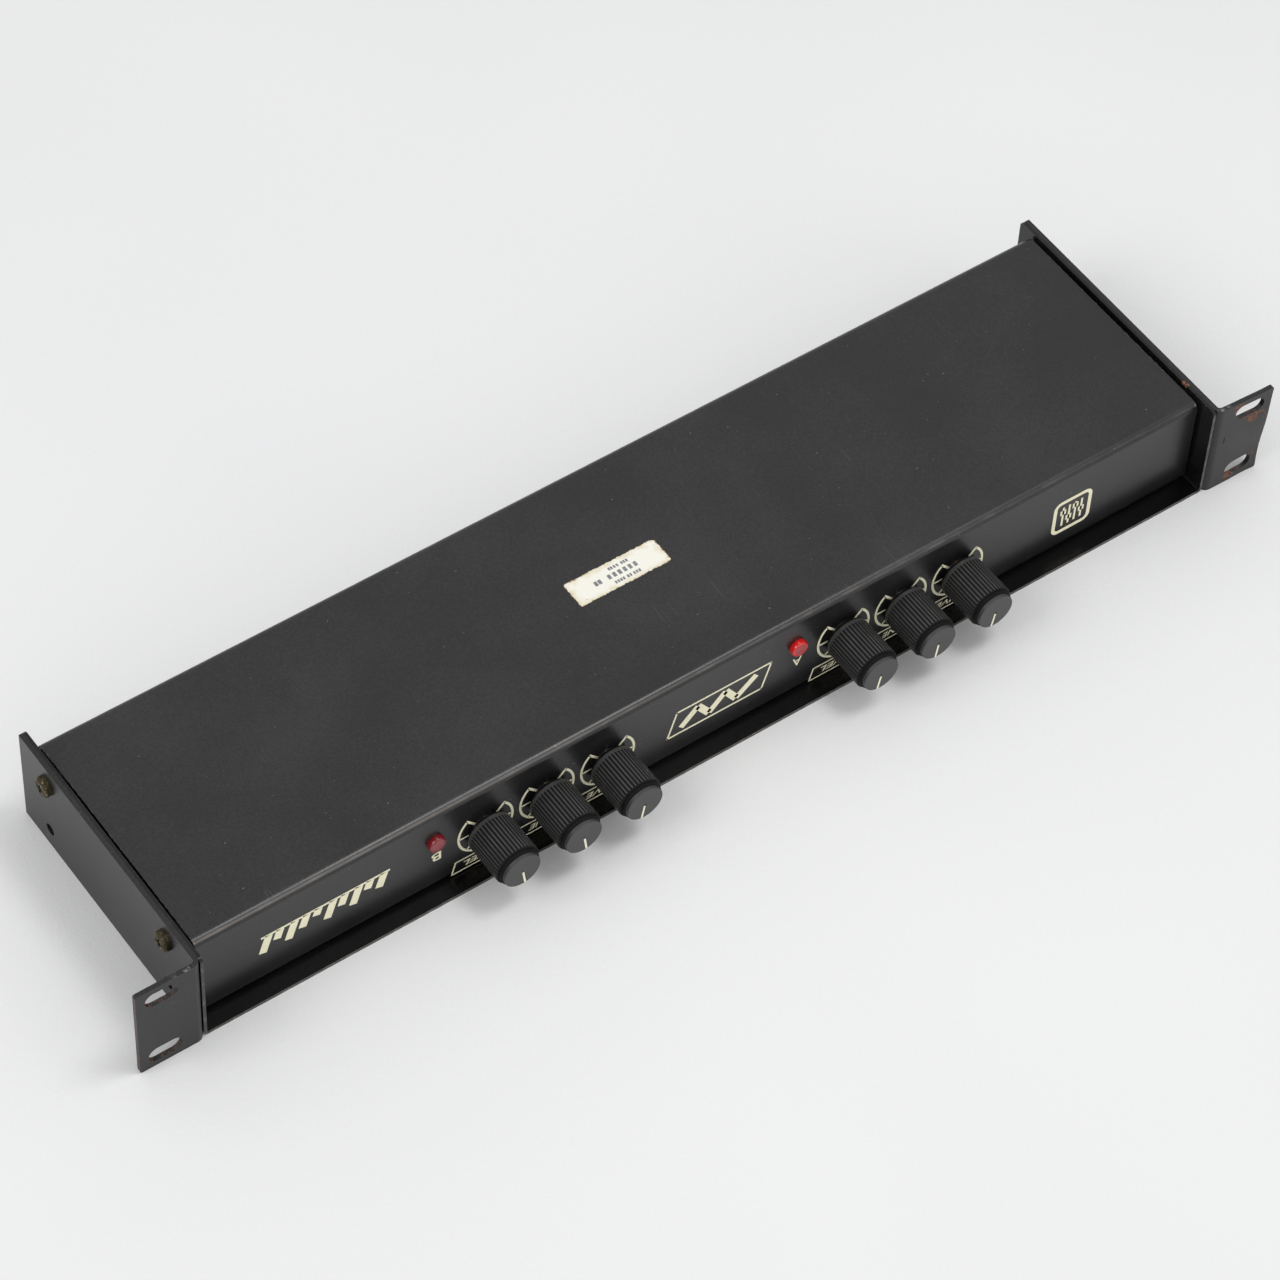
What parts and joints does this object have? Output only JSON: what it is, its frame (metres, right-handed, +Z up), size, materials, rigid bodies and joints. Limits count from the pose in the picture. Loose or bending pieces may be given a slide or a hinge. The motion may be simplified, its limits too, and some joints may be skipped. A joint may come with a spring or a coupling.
{
  "type": "rack effects unit",
  "caption": "Low two-channel rack effects unit: folded black sheet chassis, hooded front panel with fluted knobs and indicator lenses, slotted rack ears, rear phone jacks and mains inlet.",
  "frame": {"origin": "centre of the four rack slots, on the front face of the ears", "axes": "+X along the front panel, +Y from front to back, +Z up as the unit lies on its top cover; in a rack it is turned 180 degrees about Y"},
  "size_m": [0.4826, 0.1287, 0.044],
  "materials": {
    "cover_paint": "semi-matt black paint",
    "tray_paint": "semi-matt black paint with printed graphics",
    "ear_paint": "semi-matt black paint, chipped at the slots",
    "screw_steel": "oxidised black steel",
    "zinc_steel": "zinc plated steel",
    "knob_plastic": "black moulded plastic",
    "cap_plastic": "satin black plastic",
    "shaft_metal": "turned aluminium",
    "pot_metal": "plated steel can",
    "lens_red": "clear red plastic",
    "led_red": "diffused red epoxy",
    "board_green": "glass-fibre board with solder mask",
    "chip_black": "moulded epoxy",
    "can_blue": "sleeved aluminium can",
    "film_red": "dipped film capacitor",
    "resistor_tan": "lacquered resistor",
    "regulator": "anodised heat sink",
    "relay_case": "moulded relay case",
    "core_steel": "laminated steel",
    "coil_tape": "taped winding",
    "ribbon_grey": "flat cable",
    "jack_black": "black moulded plastic",
    "jack_nut": "nickel plated",
    "inlet_black": "black moulded plastic",
    "pin_brass": "plated brass",
    "wire_pvc": "wire insulation",
    "label_paper": "aged white label"
  },
  "bodies": {
    "root": {"top_cover": "cover_paint", "base_plate": "tray_paint", "front_panel": "tray_paint", "rear_panel": "tray_paint", "end_tabs": "tray_paint", "rack_ear_left": "ear_paint", "rack_ear_right": "ear_paint", "ear_screws": "screw_steel", "leds": "led_red", "rivet_nuts": "zinc_steel", "serial_label": "label_paper", "pot_nuts": "zinc_steel", "pot_washers": "zinc_steel", "ribbon_cables": "ribbon_grey", "main_board": "board_green", "board_standoffs": "zinc_steel", "board_screws": "zinc_steel", "op_amps": "chip_black", "electrolytic_capacitors": "can_blue", "film_capacitors": "film_red", "resistors": "resistor_tan", "voltage_regulators": "regulator", "bypass_relays": "relay_case", "transformer_core": "core_steel", "transformer_coil": "coil_tape", "jack_nuts": "jack_nut", "mains_inlet": "inlet_black", "inlet_pins": "pin_brass", "inlet_fasteners": "zinc_steel", "fuse_holder": "inlet_black", "mains_leads": "wire_pvc", "jack_output_b": "jack_black", "jack_input_b": "jack_black", "jack_remote": "jack_black", "jack_output_a": "jack_black", "jack_input_a": "jack_black", "led_lens_b": "lens_red", "pot_board_b": "board_green", "pot_bodies_b": "pot_metal", "led_lens_a": "lens_red", "pot_board_a": "board_green", "pot_bodies_a": "pot_metal"},
    "level_control_b": {"knob_level_b": "knob_plastic", "knob_cap_level_b": "cap_plastic", "pot_shaft_level_b": "shaft_metal"},
    "tone_control_b": {"knob_tone_b": "knob_plastic", "knob_cap_tone_b": "cap_plastic", "pot_shaft_tone_b": "shaft_metal"},
    "drive_control_b": {"knob_drive_b": "knob_plastic", "knob_cap_drive_b": "cap_plastic", "pot_shaft_drive_b": "shaft_metal"},
    "level_control_a": {"knob_level_a": "knob_plastic", "knob_cap_level_a": "cap_plastic", "pot_shaft_level_a": "shaft_metal"},
    "tone_control_a": {"knob_tone_a": "knob_plastic", "knob_cap_tone_a": "cap_plastic", "pot_shaft_tone_a": "shaft_metal"},
    "drive_control_a": {"knob_drive_a": "knob_plastic", "knob_cap_drive_a": "cap_plastic", "pot_shaft_drive_a": "shaft_metal"}
  },
  "joints": [
    {"name": "turn_level_b", "type": "hinge", "parent": "root", "child": "level_control_b", "pos_m": [-0.0976, 0, -0.0015], "axis": [0, 1, 0], "range_deg": [-126, 144]},
    {"name": "turn_tone_b", "type": "hinge", "parent": "root", "child": "tone_control_b", "pos_m": [-0.0722, 0, -0.0015], "axis": [0, 1, 0], "range_deg": [-126, 144]},
    {"name": "turn_drive_b", "type": "hinge", "parent": "root", "child": "drive_control_b", "pos_m": [-0.0468, 0, -0.0015], "axis": [0, 1, 0], "range_deg": [-144.5, 125.5]},
    {"name": "turn_level_a", "type": "hinge", "parent": "root", "child": "level_control_a", "pos_m": [0.0548, 0, -0.0015], "axis": [0, 1, 0], "range_deg": [-145.5, 124.5]},
    {"name": "turn_tone_a", "type": "hinge", "parent": "root", "child": "tone_control_a", "pos_m": [0.0802, 0, -0.0015], "axis": [0, 1, 0], "range_deg": [-142.5, 127.5]},
    {"name": "turn_drive_a", "type": "hinge", "parent": "root", "child": "drive_control_a", "pos_m": [0.1056, 0, -0.0015], "axis": [0, 1, 0], "range_deg": [-145.5, 124.5]}
  ]
}
